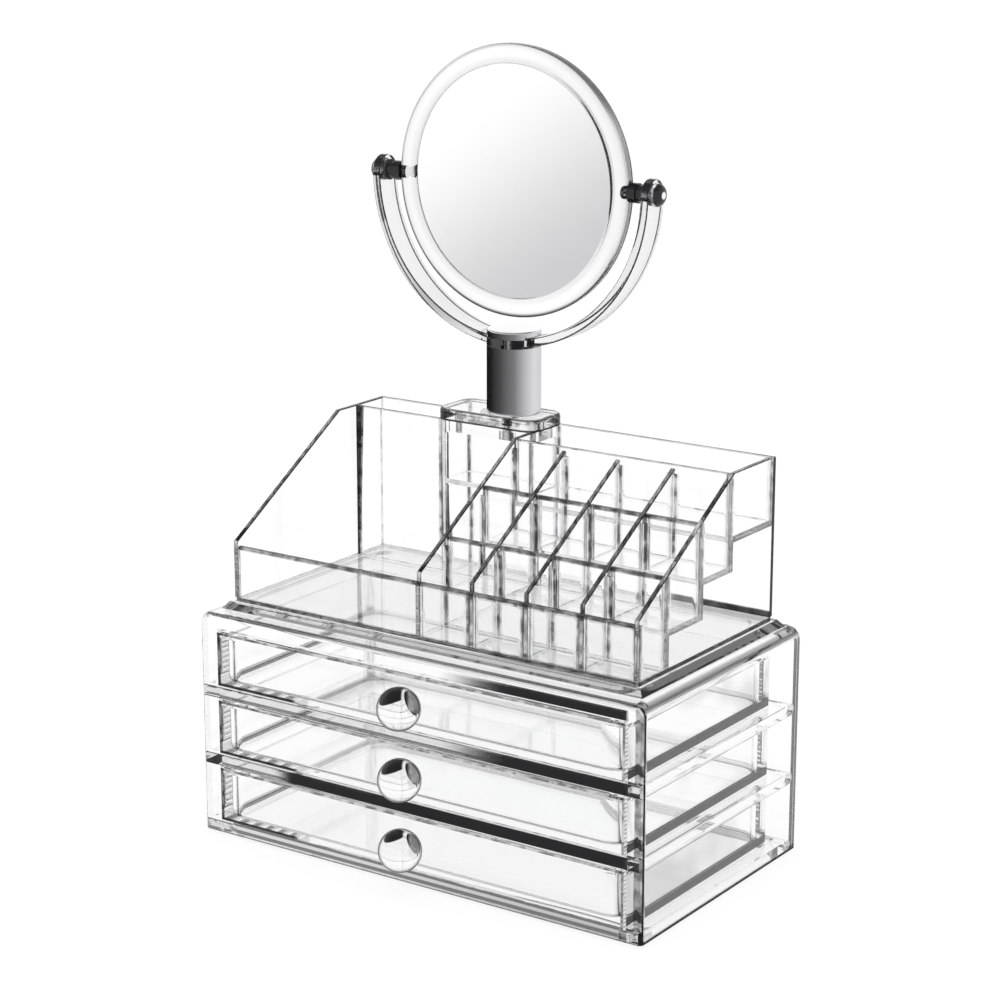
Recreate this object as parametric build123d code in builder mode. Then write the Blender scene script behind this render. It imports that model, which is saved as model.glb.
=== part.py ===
from build123d import *
from math import atan, degrees
import os

# A clear makeup organizer for a dressing table: a chest of three drawers, a tray with stepped
# lipstick cells that stands on the chest, and a round two-sided mirror on a chromed post.
# Millimetres, +Z up, the front faces -Y, the origin is under the middle of its overall box.

# Chest
chest_width = 238.0
chest_depth = 132.6
chest_wall = 3.0
shoulder_radius = 6.0
front_easing = 2.4
foot_height = 1.6
foot_inset = 5.0
foot_corner = 13.0
foot_rim_width = 4.0
header_height = 7.5
stile_width = 9.0
stile_depth = 4.0
back_panel = 3.0
panel_clearance = 0.1

# Shelves, which slide into the chest from the front
shelf_height = 5.4
shelf_plate = 2.4
shelf_front_bar = 5.0
runner_groove = 1.4
runner_clearance = 0.1

# Plinth on the chest that the tray stands in
plinth_height = 3.3
plinth_run = 2.7
plinth_lip = 1.3
plinth_seat_depth = 1.5
tray_seat_gap = 0.1
plinth_hollow = 1.8
plinth_hollow_corner = 10.0
plinth_rib = 4.0
tray_clearance = 0.4

# Drawers
drawer_count = 3
drawer_front_height = 25.4
drawer_side_height = 22.6
drawer_back_gap = 10.6
drawer_wall = 2.5
drawer_floor = 2.4
drawer_front_plate = 3.0
drawer_corner = 10.0
drawer_scoop = 2.0
drawer_edge = 0.8
drawer_side_gap = 0.5
drawer_under_gap = 0.3
drawer_head_gap = 1.6

# Ball knobs
knob_diameter = 19.5
knob_centre_out = 8.2
knob_spigot_diameter = 6.0
cement_gap = 0.06

# Tray of clear sheets
sheet = 2.4
tray_side_setback = 10.8
tray_front_setback = 12.9
tray_back_setback = 6.8
tray_base = 3.0
tray_base_corner = 1.5
tray_height = 76.5
side_front_height = 30.0
front_wall_height = 27.4
sheet_chamfer = 0.4

# Lipstick rack in the tray
rack_columns = 4
cell_pitch = 28.2
row_1_depth = 19.0
row_2_depth = 25.4
row_3_depth = 22.4
rise_1 = 14.0
rise_2 = 15.5
rise_3 = 13.0
lap_clearance = 0.1

# Back pockets and the column that carries the mirror
pocket_depth = 19.2
column_inside_width = 47.6

# Mirror foot
foot_width = 56.0
foot_depth = 28.0
foot_thickness = 5.5
foot_plate_corner = 8.0
foot_easing = 1.6
plug_depth = 6.0
plug_corner = 3.0
plug_clearance = 0.4

# Post
post_offset = 7.8
post_diameter = 25.2
post_height = 31.4
post_wall = 1.2
post_cap_height = 3.5
post_cap_easing = 0.8
post_fit = 0.1
stud_diameter = 8.0
stud_grip = 10.0
foot_screw_diameter = 5.0
foot_screw_grip = 14.0
foot_screw_head_diameter = 9.0
foot_screw_head_height = 3.0
screw_hole_gap = 0.2

# Yoke
yoke_gap = 9.0
yoke_thickness = 4.0
yoke_width = 14.0
yoke_easing = 0.7
swivel_gap = 0.1
swivel_fit = 0.06
seat_gap = 0.3

# Mirror and its pivots
frame_rim = 9.0
frame_thickness = 10.0
frame_easing = 4.2
frame_lip = 2.0
glass_diameter = 106.0
glass_thickness = 1.6
glass_recess = 2.6
magnifier_thickness = 3.0
magnifier_recess = 0.2
glass_clearance = 0.1
ledge_width = 2.5
magnifier_sag = 2.0
pivot_pin_diameter = 5.8
pivot_pin_grip = 3.6
pivot_fit = 0.06
pivot_gap = 0.1
washer_gap = 0.3
pivot_knob_diameter = 10.6
pivot_knob_length = 3.8
collar_diameter = 9.0
collar_length = 4.2
sleeve_diameter = 7.6
washer_diameter = 9.6
washer_thickness = 1.0

# Levels and places of the chest
chest_middle = (knob_centre_out + knob_diameter / 2) / 2
chest_front = chest_middle - chest_depth / 2
chest_back = chest_middle + chest_depth / 2
inner_half = chest_width / 2 - chest_wall
opening_half = chest_width / 2 - stile_width
drawer_pitch = drawer_under_gap + drawer_front_height + drawer_head_gap + shelf_height
floor_top = foot_height + shelf_height
header_bottom = floor_top + drawer_count * drawer_pitch - shelf_height
chest_top = header_bottom + header_height
ceiling = chest_top - chest_wall
runner_end = chest_back - back_panel - panel_clearance
runner_half = inner_half + runner_groove - runner_clearance
drawer_depth = chest_depth - back_panel - drawer_back_gap

# Levels and places of the tray
tray_width = chest_width - 2 * tray_side_setback
tray_depth = chest_depth - tray_front_setback - tray_back_setback
tray_half = tray_width / 2
tray_back = chest_back - tray_back_setback
tray_front = chest_front + tray_front_setback
tray_middle = (tray_front + tray_back) / 2
plinth_top = chest_top + plinth_height
tray_bottom = plinth_top - plinth_seat_depth + tray_seat_gap
base_top = tray_bottom + tray_base
tray_top = tray_bottom + tray_height
back_wall_front = tray_back - sheet
front_wall_back = tray_front + sheet

# Places of the lipstick rack
end_sheet_left = tray_half - sheet
centre_wall_left = end_sheet_left - rack_columns * cell_pitch
rack_left = centre_wall_left + sheet
cross_1_back = front_wall_back + row_1_depth + sheet
cross_2_back = cross_1_back + row_2_depth + sheet
cross_3_back = cross_2_back + row_3_depth + sheet
level_front = cross_3_back
slope = (tray_height - side_front_height) / (level_front - tray_front)
step_1_bottom = base_top + rise_1
step_2_bottom = step_1_bottom + rise_2
back_shelf_bottom = step_2_bottom + rise_3
step_1_top = step_1_bottom + sheet
step_2_top = step_2_bottom + sheet

# Places of the column, the post and the mirror
pocket_front = back_wall_front - pocket_depth
column_left = centre_wall_left - column_inside_width
column_middle_x = centre_wall_left - column_inside_width / 2
column_middle_y = back_wall_front - pocket_depth / 2
column_floor_top = back_shelf_bottom + sheet
foot_bottom = tray_top + cement_gap
foot_top = foot_bottom + foot_thickness
post_x = column_middle_x + post_offset
post_y = column_middle_y
post_radius = post_diameter / 2
post_bottom = foot_top + cement_gap
post_top = post_bottom + post_height
yoke_bottom = post_top + swivel_gap
yoke_seat_top = yoke_bottom + yoke_thickness
cap_bottom = yoke_seat_top + swivel_gap
glass_radius = glass_diameter / 2
frame_radius = glass_radius + frame_rim
yoke_inner_radius = frame_radius + yoke_gap
yoke_radius = yoke_inner_radius + yoke_thickness
pivot_z = yoke_bottom + yoke_radius
mirror_axis = Axis((post_x, post_y, pivot_z), (0, 1, 0))

os.makedirs("parts", exist_ok=True)


def keep(piece, name):
    """Label a finished piece and write its file."""
    piece.part.label = name
    export_step(piece.part, f"parts/{name}.step")


def slope_height(y):
    """Height of the tray's sloping top line at a place along Y."""
    return min(tray_bottom + side_front_height + slope * (y - tray_front), tray_top)


def tier_bottom(tier):
    """Underside of a drawer, counted from the lowest."""
    return floor_top + drawer_under_gap + tier * drawer_pitch


def shelf_bottom(tier):
    """Underside of the shelf that carries a drawer, counted from the chest's floor."""
    return foot_height + tier * drawer_pitch


# Chest shell: top, two sides and the front stiles and header in one moulding
shell_height = chest_top - foot_height
with BuildPart() as chest_shell:
    with BuildSketch(Plane.XZ.offset(-chest_back)) as shell_section:
        with Locations((0, foot_height + shell_height / 2)):
            Rectangle(chest_width, shell_height)
        fillet(shell_section.vertices().group_by(Axis.Y)[-1], shoulder_radius)
        with Locations((0, (foot_height + ceiling) / 2)):
            Rectangle(2 * inner_half, ceiling - foot_height, mode=Mode.SUBTRACT)
    extrude(amount=chest_depth - stile_depth)
    with BuildSketch(Plane.XZ.offset(-(chest_front + stile_depth))) as front_section:
        with Locations((0, foot_height + shell_height / 2)):
            Rectangle(chest_width, shell_height)
        fillet(front_section.vertices().group_by(Axis.Y)[-1], shoulder_radius)
        with Locations((0, (foot_height + header_bottom) / 2)):
            Rectangle(2 * opening_half, header_bottom - foot_height, mode=Mode.SUBTRACT)
    extrude(amount=stile_depth)
    front_outline = chest_shell.edges().group_by(Axis.Y)[0].filter_by(
        lambda edge: edge.center().Z > header_bottom + header_height / 2
        or abs(edge.center().X) > chest_width / 2 - front_easing / 2
    )
    fillet(front_outline, front_easing)
    with BuildSketch(Plane.XY.offset(chest_top)):
        with Locations((0, tray_middle)):
            Rectangle(
                tray_width + 2 * (tray_clearance + plinth_lip + plinth_run),
                tray_depth + 2 * (tray_clearance + plinth_lip + plinth_run),
            )
    extrude(amount=plinth_height, taper=degrees(atan(plinth_run / plinth_height)))
    with BuildSketch(Plane.XY.offset(plinth_top - plinth_seat_depth)):
        with Locations((0, tray_middle)):
            RectangleRounded(
                tray_width + 2 * tray_clearance,
                tray_depth + 2 * tray_clearance,
                tray_base_corner,
            )
    extrude(amount=plinth_seat_depth, mode=Mode.SUBTRACT)
    with BuildSketch(Plane.XY.offset(ceiling)):
        with Locations((0, tray_middle)):
            RectangleRounded(
                tray_width - 2 * plinth_rib,
                tray_depth - 2 * plinth_rib,
                plinth_hollow_corner,
            )
    extrude(amount=plinth_hollow, mode=Mode.SUBTRACT)
    for tier in range(drawer_count):
        groove_middle = shelf_bottom(tier) + shelf_height / 2
        for side in (-1, 1):
            with BuildSketch(Plane.YZ.offset(side * (inner_half + runner_groove / 2))):
                with Locations((chest_front, groove_middle)):
                    Rectangle(
                        runner_end - chest_front - shelf_height / 2,
                        shelf_height + 2 * runner_clearance,
                        align=(Align.MIN, Align.CENTER),
                    )
                with Locations((runner_end - shelf_height / 2, groove_middle)):
                    Circle(shelf_height / 2 + runner_clearance)
            extrude(amount=runner_groove / 2, both=True, mode=Mode.SUBTRACT)
            stile_left = min(side * opening_half, side * inner_half)
            with BuildSketch(Plane.YZ.offset(stile_left)):
                with Locations((chest_front, groove_middle)):
                    Rectangle(
                        stile_depth,
                        shelf_height + 2 * runner_clearance,
                        align=(Align.MIN, Align.CENTER),
                    )
            extrude(amount=inner_half - opening_half, mode=Mode.SUBTRACT)
keep(chest_shell, "chest_shell")


# Shelves: a plate with a front bar and two runners that slide in the grooves
def shelf(bottom):
    """Shelf with round-ended runners, open underneath."""
    with BuildPart() as plate:
        for side in (-1, 1):
            runner_left = min(side * opening_half, side * runner_half)
            with BuildSketch(Plane.YZ.offset(runner_left)):
                with Locations((chest_front, bottom + shelf_height / 2)):
                    Rectangle(
                        runner_end - chest_front - shelf_height / 2,
                        shelf_height,
                        align=(Align.MIN, Align.CENTER),
                    )
                with Locations((runner_end - shelf_height / 2, bottom + shelf_height / 2)):
                    Circle(shelf_height / 2)
            extrude(amount=runner_half - opening_half)
        with BuildSketch(Plane.XY.offset(bottom + shelf_height - shelf_plate)):
            with Locations((0, chest_front)):
                Rectangle(
                    2 * opening_half,
                    runner_end - shelf_height / 2 - chest_front,
                    align=(Align.CENTER, Align.MIN),
                )
        extrude(amount=shelf_plate)
        with BuildSketch(Plane.XY.offset(bottom)):
            with Locations((0, chest_front)):
                Rectangle(2 * opening_half, shelf_front_bar, align=(Align.CENTER, Align.MIN))
        extrude(amount=shelf_height)
    return plate


lower_shelf = shelf(shelf_bottom(1))
keep(lower_shelf, "lower_shelf")
upper_shelf = shelf(shelf_bottom(2))
keep(upper_shelf, "upper_shelf")

# Floor of the chest: the same panel with a low foot rim under it, cut off at the corners
floor_panel = shelf(shelf_bottom(0))
with BuildPart() as chest_floor:
    add(floor_panel.part)
    with BuildSketch() as foot_rim:
        with Locations((0, chest_middle)):
            Rectangle(chest_width - 2 * foot_inset, chest_depth - 2 * foot_inset)
        chamfer(foot_rim.vertices(), foot_corner - foot_inset)
        offset(amount=-foot_rim_width, mode=Mode.SUBTRACT)
    extrude(amount=floor_top - shelf_plate)
keep(chest_floor, "chest_floor")

# Back panel, set in flush between the sides
with BuildPart() as chest_back_panel:
    with BuildSketch(Plane.XZ.offset(-chest_back)):
        with Locations((0, (foot_height + ceiling) / 2)):
            Rectangle(
                2 * (inner_half - panel_clearance),
                ceiling - foot_height - 2 * panel_clearance,
            )
    extrude(amount=back_panel)
keep(chest_back_panel, "chest_back_panel")

# Drawers: one moulding each, scooped inside, with a hole for the knob's spigot
drawer_half = opening_half - drawer_side_gap
plate_back = chest_front + drawer_front_plate
drawer_back = chest_front + drawer_depth


def drawer(bottom):
    """Open box behind a taller front plate."""
    with BuildPart() as box:
        with BuildSketch(Plane.XY.offset(bottom)):
            with Locations((0, chest_front)):
                Rectangle(2 * drawer_half, drawer_depth, align=(Align.CENTER, Align.MIN))
        extrude(amount=drawer_side_height)
        with BuildSketch(Plane.XY.offset(bottom + drawer_floor)):
            with Locations((0, plate_back)):
                Rectangle(
                    2 * (drawer_half - drawer_wall),
                    drawer_depth - drawer_front_plate - drawer_wall,
                    align=(Align.CENTER, Align.MIN),
                )
        extrude(amount=drawer_side_height - drawer_floor, mode=Mode.SUBTRACT)
        inside = box.edges().filter_by(Axis.Z).filter_by(
            lambda edge: abs(edge.center().X) < drawer_half - drawer_wall / 2
        )
        fillet(inside, drawer_corner)
        fillet(box.faces().filter_by(Axis.Z).group_by(Axis.Z)[1].edges(), drawer_scoop)
        with BuildSketch(Plane.XY.offset(bottom + drawer_side_height)):
            with Locations((0, chest_front)):
                Rectangle(
                    2 * drawer_half, drawer_front_plate, align=(Align.CENTER, Align.MIN)
                )
        extrude(amount=drawer_front_height - drawer_side_height)
        chamfer(box.faces().sort_by(Axis.Y)[0].edges(), drawer_edge)
        with Locations(Plane.XZ.offset(-chest_front)):
            with Locations((0, bottom + drawer_front_height / 2)):
                Hole(knob_spigot_diameter / 2 + cement_gap, depth=drawer_front_plate)
    return box


def knob(bottom):
    """Clear ball with a flat seat and a spigot that is cemented into the drawer front."""
    middle = bottom + drawer_front_height / 2
    with BuildPart() as ball:
        with Locations((0, chest_front - knob_centre_out, middle)):
            Sphere(knob_diameter / 2)
        split(bisect_by=Plane.XZ.offset(cement_gap - chest_front), keep=Keep.TOP)
        with BuildSketch(Plane.XZ.offset(-plate_back)):
            with Locations((0, middle)):
                Circle(knob_spigot_diameter / 2)
        extrude(amount=drawer_front_plate + knob_centre_out)
    return ball


for tier, name in enumerate(("lower", "middle", "upper")):
    drawer_box = drawer(tier_bottom(tier))
    keep(drawer_box, f"{name}_drawer")
    drawer_knob = knob(tier_bottom(tier))
    keep(drawer_knob, f"{name}_drawer_knob")

# Tray base, which stands in the plinth's seat
with BuildPart() as tray_base_plate:
    with BuildSketch(Plane.XY.offset(tray_bottom)):
        with Locations((0, tray_middle)):
            RectangleRounded(tray_width, tray_depth, tray_base_corner)
    extrude(amount=tray_base)
keep(tray_base_plate, "tray_base")


def sheet_across_x(left, *outline):
    """Sheet with its left face at X and a cornered outline in Y and Z."""
    with BuildPart() as piece:
        with BuildSketch(Plane.YZ.offset(left)):
            with BuildLine():
                Polyline(*outline, close=True)
            make_face()
        extrude(amount=sheet)
        top_faces = piece.faces().filter_by(lambda face: face.normal_at().Z > 0.5)
        long_edges = top_faces.edges().filter_by(Axis.X, reverse=True)
        chamfer(long_edges, sheet_chamfer)
    return piece


def sheet_across_y(back, left, right, bottom, top, notches=(), notch_bottom=0.0):
    """Sheet with its back face at Y, notched from above where dividers cross it."""
    with BuildPart() as piece:
        with BuildSketch(Plane.XZ.offset(-back)):
            with Locations((left, bottom)):
                Rectangle(right - left, top - bottom, align=(Align.MIN, Align.MIN))
            for notch in notches:
                with Locations((notch - lap_clearance, notch_bottom)):
                    Rectangle(
                        sheet + 2 * lap_clearance,
                        top - notch_bottom,
                        align=(Align.MIN, Align.MIN),
                        mode=Mode.SUBTRACT,
                    )
        extrude(amount=sheet)
        top_edges = piece.faces().filter_by(Axis.Z).group_by(Axis.Z)[-1].edges()
        chamfer(top_edges.filter_by(Axis.X), sheet_chamfer)
    return piece


def flat_sheet(bottom, left, right, front, back):
    """Level sheet between four faces."""
    with BuildPart() as piece:
        with BuildSketch(Plane.XY.offset(bottom)):
            with Locations((left, front)):
                Rectangle(right - left, back - front, align=(Align.MIN, Align.MIN))
        extrude(amount=sheet)
    return piece


# Outer walls of the tray
wall_foot = base_top + cement_gap
tray_left_wall = sheet_across_x(
    -tray_half,
    (tray_front, wall_foot),
    (back_wall_front - cement_gap, wall_foot),
    (back_wall_front - cement_gap, tray_top),
    (level_front, tray_top),
    (tray_front, slope_height(tray_front)),
)
keep(tray_left_wall, "tray_left_wall")

tray_front_wall = sheet_across_y(
    front_wall_back,
    sheet + cement_gap - tray_half,
    end_sheet_left - cement_gap,
    wall_foot,
    tray_bottom + front_wall_height,
)
keep(tray_front_wall, "tray_front_wall")

tray_back_wall = sheet_across_y(tray_back, -tray_half, tray_half, wall_foot, tray_top)
keep(tray_back_wall, "tray_back_wall")

tray_centre_wall = sheet_across_x(
    centre_wall_left,
    (front_wall_back + cement_gap, wall_foot),
    (back_wall_front - cement_gap, wall_foot),
    (back_wall_front - cement_gap, tray_top),
    (level_front, tray_top),
    (front_wall_back + cement_gap, slope_height(front_wall_back)),
)
keep(tray_centre_wall, "tray_centre_wall")

# Back pockets: a partition across the left half, and the column that the mirror plugs into
pocket_partition = sheet_across_y(
    pocket_front,
    sheet + cement_gap - tray_half,
    centre_wall_left - cement_gap,
    wall_foot,
    tray_top,
)
keep(pocket_partition, "pocket_partition")

column_side = sheet_across_x(
    column_left - sheet,
    (pocket_front + cement_gap, wall_foot),
    (back_wall_front - cement_gap, wall_foot),
    (back_wall_front - cement_gap, tray_top),
    (pocket_front + cement_gap, tray_top),
)
keep(column_side, "column_side")

column_floor = flat_sheet(
    column_floor_top - sheet,
    column_left + cement_gap,
    centre_wall_left - cement_gap,
    pocket_front + cement_gap,
    back_wall_front - cement_gap,
)
keep(column_floor, "column_floor")

# Stepped floors of the lipstick rack, and the shelf of the pocket behind it
floor_left = rack_left + cement_gap
floor_right = end_sheet_left - cement_gap
rack_step_1 = flat_sheet(
    step_1_bottom, floor_left, floor_right, cross_1_back + cement_gap, cross_2_back
)
keep(rack_step_1, "rack_step_1")
rack_step_2 = flat_sheet(
    step_2_bottom, floor_left, floor_right, cross_2_back + cement_gap, cross_3_back
)
keep(rack_step_2, "rack_step_2")
back_pocket_shelf = flat_sheet(
    back_shelf_bottom,
    floor_left,
    floor_right,
    cross_3_back + cement_gap,
    back_wall_front - cement_gap,
)
keep(back_pocket_shelf, "back_pocket_shelf")

# Cross walls of the rack, each also the riser of the step behind it
divider_lefts = [end_sheet_left - column * cell_pitch for column in range(1, rack_columns)]
cross_1_top = slope_height(cross_1_back - sheet)
cross_2_top = slope_height(cross_2_back - sheet)
lap_1 = (step_1_top + cross_1_top) / 2
lap_2 = (step_2_top + cross_2_top) / 2
rack_cross_wall_1 = sheet_across_y(
    cross_1_back, floor_left, floor_right, wall_foot, cross_1_top, divider_lefts, lap_1
)
keep(rack_cross_wall_1, "rack_cross_wall_1")
rack_cross_wall_2 = sheet_across_y(
    cross_2_back,
    floor_left,
    floor_right,
    step_1_top + cement_gap,
    cross_2_top,
    divider_lefts,
    lap_2,
)
keep(rack_cross_wall_2, "rack_cross_wall_2")
rack_cross_wall_3 = sheet_across_y(
    cross_3_back, floor_left, floor_right, step_2_top + cement_gap, tray_top
)
keep(rack_cross_wall_3, "rack_cross_wall_3")

# Dividers: stepped below, sloped above, lapped over the two lower cross walls
lap_front_1 = cross_1_back - sheet - lap_clearance
lap_back_1 = cross_1_back + lap_clearance
lap_front_2 = cross_2_back - sheet - lap_clearance
lap_back_2 = cross_2_back + lap_clearance
divider_front = front_wall_back + cement_gap
divider_back = cross_3_back - sheet - cement_gap
for number, left in enumerate(reversed(divider_lefts), start=1):
    rack_divider = sheet_across_x(
        left,
        (divider_front, wall_foot),
        (lap_front_1, wall_foot),
        (lap_front_1, lap_1 + lap_clearance),
        (lap_back_1, lap_1 + lap_clearance),
        (lap_back_1, step_1_top + cement_gap),
        (lap_front_2, step_1_top + cement_gap),
        (lap_front_2, lap_2 + lap_clearance),
        (lap_back_2, lap_2 + lap_clearance),
        (lap_back_2, step_2_top + cement_gap),
        (divider_back, step_2_top + cement_gap),
        (divider_back, slope_height(divider_back)),
        (divider_front, slope_height(divider_front)),
    )
    keep(rack_divider, f"rack_divider_{number}")

# Right end of the rack and of the pocket behind it, open under the steps
rack_end_sheet = sheet_across_x(
    end_sheet_left,
    (tray_front, wall_foot),
    (cross_1_back, wall_foot),
    (cross_1_back, step_1_bottom),
    (cross_2_back, step_1_bottom),
    (cross_2_back, step_2_bottom),
    (cross_3_back, step_2_bottom),
    (cross_3_back, back_shelf_bottom),
    (back_wall_front - cement_gap, back_shelf_bottom),
    (back_wall_front - cement_gap, tray_top),
    (level_front, tray_top),
    (tray_front, slope_height(tray_front)),
)
keep(rack_end_sheet, "rack_end_sheet")

# Mirror foot: a plate over the column's mouth, with a plug that locates it
with BuildPart() as mirror_foot:
    with BuildSketch(Plane.XY.offset(foot_bottom)):
        with Locations((column_middle_x, column_middle_y)):
            RectangleRounded(foot_width, foot_depth, foot_plate_corner)
    extrude(amount=foot_thickness)
    fillet(mirror_foot.faces().sort_by(Axis.Z)[-1].edges(), foot_easing)
    with BuildSketch(Plane.XY.offset(foot_bottom - plug_depth)):
        with Locations((column_middle_x, column_middle_y)):
            RectangleRounded(
                column_inside_width - 2 * plug_clearance,
                pocket_depth - 2 * plug_clearance,
                plug_corner,
            )
    extrude(amount=plug_depth)
    with Locations(Plane.XY.offset(foot_bottom - plug_depth).rotated((180, 0, 0))):
        with Locations((post_x, -post_y)):
            CounterBoreHole(
                foot_screw_diameter / 2 + screw_hole_gap,
                foot_screw_head_diameter / 2 + screw_hole_gap,
                foot_screw_head_height,
            )
keep(mirror_foot, "mirror_foot")

# Post: a chromed tube round a core, held by a screw from below
with BuildPart() as post_tube:
    with BuildSketch(Plane.XY.offset(post_bottom)):
        with Locations((post_x, post_y)):
            Circle(post_radius)
            Circle(post_radius - post_wall, mode=Mode.SUBTRACT)
    extrude(amount=post_height)
keep(post_tube, "post_tube")

with BuildPart() as post_core:
    with BuildSketch(Plane.XY.offset(post_bottom)):
        with Locations((post_x, post_y)):
            Circle(post_radius - post_wall - post_fit)
    extrude(amount=post_height - post_fit)
    with Locations((post_x, post_y, post_bottom + post_height - post_fit)):
        Hole(stud_diameter / 2 + post_fit, depth=stud_grip + post_fit)
    with Locations(Plane.XY.offset(post_bottom).rotated((180, 0, 0))):
        with Locations((post_x, -post_y)):
            Hole(foot_screw_diameter / 2 + post_fit, depth=foot_screw_grip + post_fit)
keep(post_core, "post_core")

screw_head_top = foot_bottom - plug_depth + foot_screw_head_height - cement_gap
with BuildPart() as foot_screw:
    with BuildSketch(Plane.XY.offset(screw_head_top - foot_screw_head_height)):
        with Locations((post_x, post_y)):
            Circle(foot_screw_head_diameter / 2)
    extrude(amount=foot_screw_head_height)
    with BuildSketch(Plane.XY.offset(screw_head_top)):
        with Locations((post_x, post_y)):
            Circle(foot_screw_diameter / 2)
    extrude(amount=post_bottom + foot_screw_grip - screw_head_top)
keep(foot_screw, "foot_screw")

with BuildPart() as post_cap:
    with BuildSketch(Plane.XY.offset(cap_bottom)):
        with Locations((post_x, post_y)):
            Circle(post_radius)
    extrude(amount=post_cap_height)
    fillet(post_cap.edges().sort_by(Axis.Z)[-1], post_cap_easing)
    with BuildSketch(Plane.XY.offset(post_top - stud_grip)):
        with Locations((post_x, post_y)):
            Circle(stud_diameter / 2)
    extrude(amount=cap_bottom - post_top + stud_grip)
keep(post_cap, "post_cap")

# Yoke: a flat strip bent round the mirror, with a round seat that turns on the cap's stud
with BuildPart() as yoke:
    with BuildSketch(Plane.XZ.offset(-(post_y + yoke_width / 2))):
        with Locations((post_x, pivot_z)):
            Circle(yoke_radius)
            Circle(yoke_inner_radius, mode=Mode.SUBTRACT)
            Rectangle(
                2 * yoke_radius,
                2 * yoke_radius,
                align=(Align.CENTER, Align.MIN),
                mode=Mode.SUBTRACT,
            )
    extrude(amount=yoke_width)
    for arm_left in (post_x - yoke_radius, post_x + yoke_inner_radius):
        with BuildSketch(Plane.YZ.offset(arm_left)):
            with Locations((post_y, pivot_z)):
                Circle(yoke_width / 2)
                Rectangle(
                    yoke_width,
                    yoke_width / 2,
                    align=(Align.CENTER, Align.MAX),
                    mode=Mode.SUBTRACT,
                )
        extrude(amount=yoke_thickness)
    fillet(yoke.edges().filter_by(GeomType.CIRCLE), yoke_easing)
    with BuildSketch(Plane.XY.offset(yoke_bottom)):
        with Locations((post_x, post_y)):
            Circle(post_radius)
    extrude(amount=yoke_thickness)
    with BuildSketch(Plane.XY.offset(yoke_seat_top)):
        with Locations((post_x, post_y)):
            Circle(post_radius + seat_gap)
    extrude(amount=yoke_inner_radius, mode=Mode.SUBTRACT)
    with Locations((post_x, post_y, yoke_seat_top)):
        Hole(stud_diameter / 2 + swivel_fit, depth=yoke_thickness)
    with BuildSketch(Plane.YZ.offset(post_x)):
        with Locations((post_y, pivot_z)):
            Circle(pivot_pin_diameter / 2 + pivot_fit)
    extrude(amount=yoke_radius, both=True, mode=Mode.SUBTRACT)
keep(yoke, "yoke")

# Mirror frame: a thick clear ring with a rebate for a glass on each face
glass_seat = glass_thickness + glass_recess
magnifier_seat = magnifier_thickness + magnifier_recess
with BuildPart() as mirror_frame:
    with BuildSketch(Plane.XY.offset(pivot_z)) as ring_section:
        with Locations((post_x + glass_radius - ledge_width, post_y)):
            Rectangle(
                frame_radius - glass_radius + ledge_width,
                frame_thickness,
                align=(Align.MIN, Align.CENTER),
            )
        fillet(ring_section.vertices().group_by(Axis.X)[-1], frame_easing)
        for face, seat in ((-1, glass_seat), (1, magnifier_seat)):
            with Locations((post_x, post_y + face * (frame_thickness - seat) / 2)):
                Rectangle(
                    glass_radius + glass_clearance,
                    seat,
                    align=(Align.MIN, Align.CENTER),
                    mode=Mode.SUBTRACT,
                )
        fillet(ring_section.vertices().group_by(Axis.Y)[0].sort_by(Axis.X)[0], frame_lip)
    revolve(axis=mirror_axis)
    for pin_left in (post_x - frame_radius, post_x + frame_radius - pivot_pin_grip - pivot_fit):
        with BuildSketch(Plane.YZ.offset(pin_left)):
            with Locations((post_y, pivot_z)):
                Circle(pivot_pin_diameter / 2 + pivot_fit)
        extrude(amount=pivot_pin_grip + pivot_fit, mode=Mode.SUBTRACT)
keep(mirror_frame, "mirror_frame")

# Plain glass in front, magnifying glass behind
frame_front = post_y - frame_thickness / 2
with BuildPart() as front_mirror:
    with BuildSketch(Plane.XZ.offset(-(frame_front + glass_seat - cement_gap))):
        with Locations((post_x, pivot_z)):
            Circle(glass_radius)
    extrude(amount=glass_thickness)
keep(front_mirror, "front_mirror")

seat_back = post_y + frame_thickness / 2 - magnifier_seat + cement_gap
with BuildPart() as magnifying_mirror:
    with BuildSketch(Plane.XY.offset(pivot_z)):
        with BuildLine():
            face_arc = RadiusArc(
                (post_x + glass_radius, seat_back + magnifier_thickness),
                (post_x, seat_back + magnifier_thickness - magnifier_sag),
                (glass_radius**2 + magnifier_sag**2) / (2 * magnifier_sag),
            )
            Polyline(
                face_arc @ 1,
                (post_x, seat_back),
                (post_x + glass_radius, seat_back),
                face_arc @ 0,
            )
        make_face()
    revolve(axis=mirror_axis)
keep(magnifying_mirror, "magnifying_mirror")

# Pivots: domed screw through the arm, washer and collar, screwed into the mirror frame
collar_start = frame_radius + pivot_gap
washer_end = yoke_inner_radius - washer_gap
washer_start = washer_end - washer_thickness
knob_start = yoke_radius + pivot_gap
pin_start = frame_radius - pivot_pin_grip


def turned_on_pivot(side, *sections):
    """Round piece on the pivot axis, from sections of start, end and diameter."""
    with BuildPart() as piece:
        for start, end, diameter in sections:
            with BuildSketch(Plane.YZ.offset(post_x + side * start)):
                with Locations((post_y, pivot_z)):
                    Circle(diameter / 2)
            extrude(amount=side * (end - start))
    return piece


def bored_on_pivot(side, *sections):
    """Round piece on the pivot axis with a bore for the pin."""
    solid_piece = turned_on_pivot(side, *sections)
    with BuildPart() as piece:
        add(solid_piece.part)
        with BuildSketch(Plane.YZ.offset(post_x + side * sections[0][0])):
            with Locations((post_y, pivot_z)):
                Circle(pivot_pin_diameter / 2 + pivot_fit)
        extrude(amount=side * (sections[-1][1] - sections[0][0]), mode=Mode.SUBTRACT)
    return piece


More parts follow.
